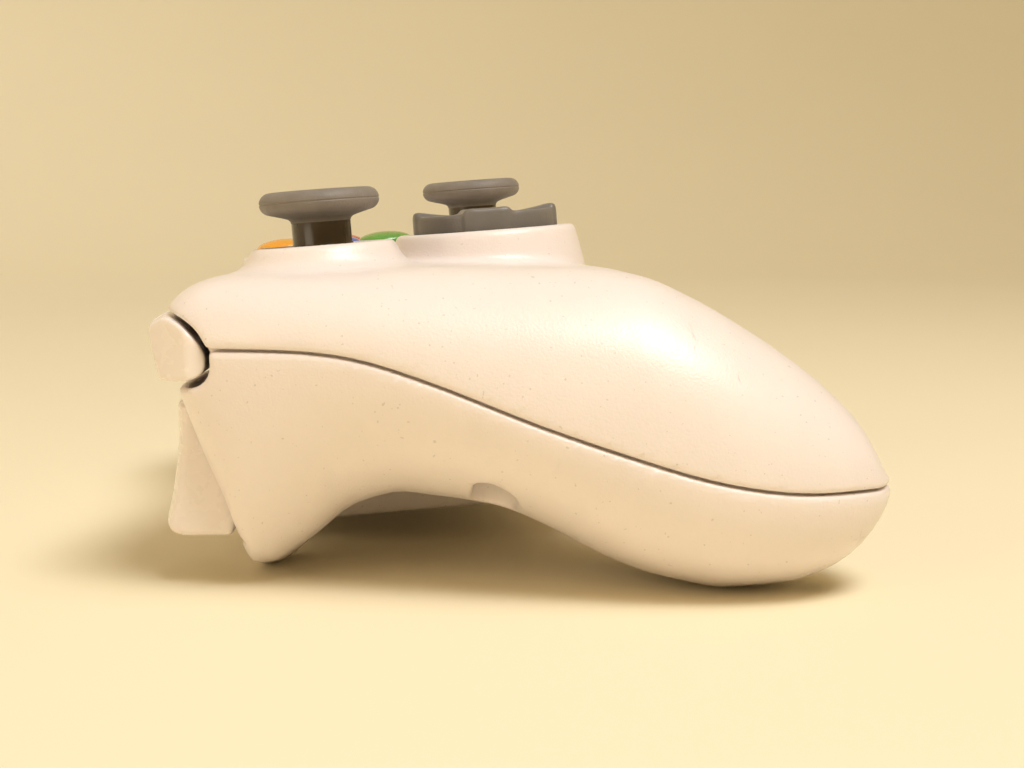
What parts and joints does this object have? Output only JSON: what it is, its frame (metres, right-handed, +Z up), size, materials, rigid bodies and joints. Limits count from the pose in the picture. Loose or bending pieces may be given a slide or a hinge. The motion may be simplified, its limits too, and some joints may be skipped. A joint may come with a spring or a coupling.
{
  "type": "wireless gamepad",
  "caption": "Two-handed wireless gamepad with offset thumbsticks, D-pad, face buttons, shoulder bumpers, hinged triggers and a battery pack underneath.",
  "frame": {"origin": "on the table, at the middle of the pad's plan box", "axes": "+X to the player's right, +Y forward to the bumpers, +Z up from the table"},
  "size_m": [0.153, 0.1072, 0.061],
  "materials": {
    "white_plastic": "satin injection moulding with a fine pearl texture",
    "trim_plastic": "smooth semi-gloss moulding",
    "control_grey": "fine matt grip rubber",
    "dpad_grey": "fine matt moulding",
    "dark_plastic": "black moulding",
    "steel": "plain machined and pressed steel",
    "amber_clear": "clear coloured dome",
    "red_clear": "clear coloured dome",
    "blue_clear": "clear coloured dome",
    "green_clear": "clear coloured dome",
    "silver_plastic": "metallised plastic",
    "silicone": "translucent silicone",
    "board_green": "solder mask on glass epoxy",
    "led": "diffusing lens",
    "cell_wrap": "printed metal can, left plain"
  },
  "bodies": {
    "pad": {"top_shell": "white_plastic", "bottom_shell": "white_plastic", "shoulder_bridge": "trim_plastic", "bumper_switches": "dark_plastic", "trigger_pins": "steel", "trigger_springs": "steel", "trigger_brackets": "dark_plastic", "trigger_sensors": "board_green", "left_stick_frame": "dark_plastic", "left_stick_sensors": "board_green", "right_stick_frame": "dark_plastic", "right_stick_sensors": "board_green", "dpad_base": "dark_plastic", "dpad_membrane": "silicone", "face_membrane": "silicone", "guide_ring": "silver_plastic", "menu_membrane": "silicone", "charge_port": "steel", "headset_jack": "dark_plastic", "main_board": "board_green", "board_chips": "dark_plastic", "ring_leds": "led", "bay_contacts": "steel", "left_motor": "steel", "right_motor": "steel", "case_screws": "steel"},
    "left_bumper": {"left_bumper": "trim_plastic"},
    "right_bumper": {"right_bumper": "trim_plastic"},
    "left_trigger": {"left_trigger": "trim_plastic"},
    "right_trigger": {"right_trigger": "trim_plastic"},
    "left_stick_rocker": {"left_stick_rocker": "steel"},
    "left_stick_pivot": {"left_stick_pivot": "dark_plastic"},
    "left_stick_arch": {"left_stick_arch": "steel"},
    "left_stick": {"left_stick_cap": "control_grey", "left_stick_shaft": "steel"},
    "right_stick_rocker": {"right_stick_rocker": "steel"},
    "right_stick_pivot": {"right_stick_pivot": "dark_plastic"},
    "right_stick_arch": {"right_stick_arch": "steel"},
    "right_stick": {"right_stick_cap": "control_grey", "right_stick_shaft": "steel"},
    "dpad_carrier": {"dpad_carrier": "dark_plastic"},
    "dpad": {"dpad_disc": "dpad_grey"},
    "button_amber": {"button_amber": "amber_clear"},
    "button_red": {"button_red": "red_clear"},
    "button_blue": {"button_blue": "blue_clear"},
    "button_green": {"button_green": "green_clear"},
    "back_button": {"back_button": "dpad_grey"},
    "start_button": {"start_button": "dpad_grey"},
    "guide_button": {"guide_button": "silver_plastic"},
    "sync_button": {"sync_button": "trim_plastic"},
    "left_motor_weight": {"left_motor_weight": "steel"},
    "right_motor_weight": {"right_motor_weight": "steel"},
    "battery_pack": {"battery_case": "trim_plastic", "battery_cover": "white_plastic", "battery_cells": "cell_wrap", "battery_terminals": "steel"},
    "battery_latch": {"battery_latch": "trim_plastic"}
  },
  "joints": [
    {"name": "left_bumper_press", "type": "hinge", "parent": "pad", "child": "left_bumper", "pos_m": [-0.0195, 0.044, 0.0345], "axis": [0, 0, 1], "range_deg": [0, 1.1], "stiffness_Nm_per_rad": 0.2, "springref_deg": -2.86},
    {"name": "right_bumper_press", "type": "hinge", "parent": "pad", "child": "right_bumper", "pos_m": [0.0195, 0.044, 0.0345], "axis": [0, 0, -1], "range_deg": [0, 1.1], "stiffness_Nm_per_rad": 0.2, "springref_deg": -2.86},
    {"name": "left_trigger_pull", "type": "hinge", "parent": "pad", "child": "left_trigger", "pos_m": [-0.044, 0.043, 0.0275], "axis": [-1, 0, 0], "range_deg": [0, 11.5], "stiffness_Nm_per_rad": 0.05, "springref_deg": -17.19},
    {"name": "right_trigger_pull", "type": "hinge", "parent": "pad", "child": "right_trigger", "pos_m": [0.044, 0.043, 0.0275], "axis": [-1, 0, 0], "range_deg": [0, 11.5], "stiffness_Nm_per_rad": 0.05, "springref_deg": -17.19},
    {"name": "left_stick_tilt_y", "type": "hinge", "parent": "pad", "child": "left_stick_rocker", "pos_m": [-0.039, 0.02849, 0.04008], "axis": [1, 0, 0], "range_deg": [-15, 15], "stiffness_Nm_per_rad": 0.02},
    {"name": "left_stick_tilt_x", "type": "hinge", "parent": "left_stick_rocker", "child": "left_stick_pivot", "pos_m": [-0.039, 0.02849, 0.04008], "axis": [0, 0.9972, -0.075], "range_deg": [-15, 15], "stiffness_Nm_per_rad": 0.02},
    {"name": "left_stick_press", "type": "slide", "parent": "left_stick_pivot", "child": "left_stick", "axis": [0, -0.075, -0.9972], "range_m": [0, 0.0004], "stiffness_N_per_m": 400, "springref_m": -0.002},
    {"name": "left_stick_arch_turn", "type": "hinge", "parent": "pad", "child": "left_stick_arch", "pos_m": [-0.039, 0.02849, 0.04008], "axis": [0, 0.9972, -0.075], "range_deg": [-15, 15]},
    {"name": "right_stick_tilt_y", "type": "hinge", "parent": "pad", "child": "right_stick_rocker", "pos_m": [0.02, 0.00279, 0.04201], "axis": [1, 0, 0], "range_deg": [-15, 15], "stiffness_Nm_per_rad": 0.02},
    {"name": "right_stick_tilt_x", "type": "hinge", "parent": "right_stick_rocker", "child": "right_stick_pivot", "pos_m": [0.02, 0.00279, 0.04201], "axis": [0, 0.9972, -0.075], "range_deg": [-15, 15], "stiffness_Nm_per_rad": 0.02},
    {"name": "right_stick_press", "type": "slide", "parent": "right_stick_pivot", "child": "right_stick", "axis": [0, -0.075, -0.9972], "range_m": [0, 0.0004], "stiffness_N_per_m": 400, "springref_m": -0.002},
    {"name": "right_stick_arch_turn", "type": "hinge", "parent": "pad", "child": "right_stick_arch", "pos_m": [0.02, 0.00279, 0.04201], "axis": [0, 0.9972, -0.075], "range_deg": [-15, 15]},
    {"name": "dpad_tilt_y", "type": "hinge", "parent": "pad", "child": "dpad_carrier", "pos_m": [-0.02, 0.00298, 0.04451], "axis": [1, 0, 0], "range_deg": [-4, 4], "stiffness_Nm_per_rad": 0.05},
    {"name": "dpad_tilt_x", "type": "hinge", "parent": "dpad_carrier", "child": "dpad", "pos_m": [-0.02, 0.00298, 0.04451], "axis": [0, 0.9972, -0.075], "range_deg": [-4, 4], "stiffness_Nm_per_rad": 0.05},
    {"name": "button_amber_press", "type": "slide", "parent": "pad", "child": "button_amber", "axis": [0, -0.075, -0.9972], "range_m": [0, 0.0015], "stiffness_N_per_m": 300, "springref_m": -0.002},
    {"name": "button_red_press", "type": "slide", "parent": "pad", "child": "button_red", "axis": [0, -0.075, -0.9972], "range_m": [0, 0.0015], "stiffness_N_per_m": 300, "springref_m": -0.002},
    {"name": "button_blue_press", "type": "slide", "parent": "pad", "child": "button_blue", "axis": [0, -0.075, -0.9972], "range_m": [0, 0.0015], "stiffness_N_per_m": 300, "springref_m": -0.002},
    {"name": "button_green_press", "type": "slide", "parent": "pad", "child": "button_green", "axis": [0, -0.075, -0.9972], "range_m": [0, 0.0015], "stiffness_N_per_m": 300, "springref_m": -0.002},
    {"name": "back_button_press", "type": "slide", "parent": "pad", "child": "back_button", "axis": [0, -0.075, -0.9972], "range_m": [0, 0.0008], "stiffness_N_per_m": 300, "springref_m": -0.002},
    {"name": "start_button_press", "type": "slide", "parent": "pad", "child": "start_button", "axis": [0, -0.075, -0.9972], "range_m": [0, 0.0008], "stiffness_N_per_m": 300, "springref_m": -0.002},
    {"name": "guide_button_press", "type": "slide", "parent": "pad", "child": "guide_button", "axis": [0, -0.075, -0.9972], "range_m": [0, 0.0005], "stiffness_N_per_m": 300, "springref_m": -0.002},
    {"name": "sync_button_press", "type": "slide", "parent": "pad", "child": "sync_button", "axis": [0, -1, 0], "range_m": [0, 0.0006], "stiffness_N_per_m": 300, "springref_m": -0.001},
    {"name": "left_motor_spin", "type": "hinge", "parent": "pad", "child": "left_motor_weight", "pos_m": [-0.057, -0.022, 0.03], "axis": [0, 0, 1], "continuous": true},
    {"name": "right_motor_spin", "type": "hinge", "parent": "pad", "child": "right_motor_weight", "pos_m": [0.057, -0.022, 0.03], "axis": [0, 0, 1], "continuous": true},
    {"name": "battery_pack_release", "type": "slide", "parent": "pad", "child": "battery_pack", "axis": [0, -0.075, -0.9972], "range_m": [0, 0.022]},
    {"name": "battery_latch_press", "type": "slide", "parent": "battery_pack", "child": "battery_latch", "axis": [0, -0.075, -0.9972], "range_m": [0, 0.0015], "stiffness_N_per_m": 300, "springref_m": -0.002}
  ],
  "couplings": [
    {"joint": "left_stick_arch_turn", "follows": "left_stick_tilt_x", "ratio": 1},
    {"joint": "right_stick_arch_turn", "follows": "right_stick_tilt_x", "ratio": 1}
  ]
}
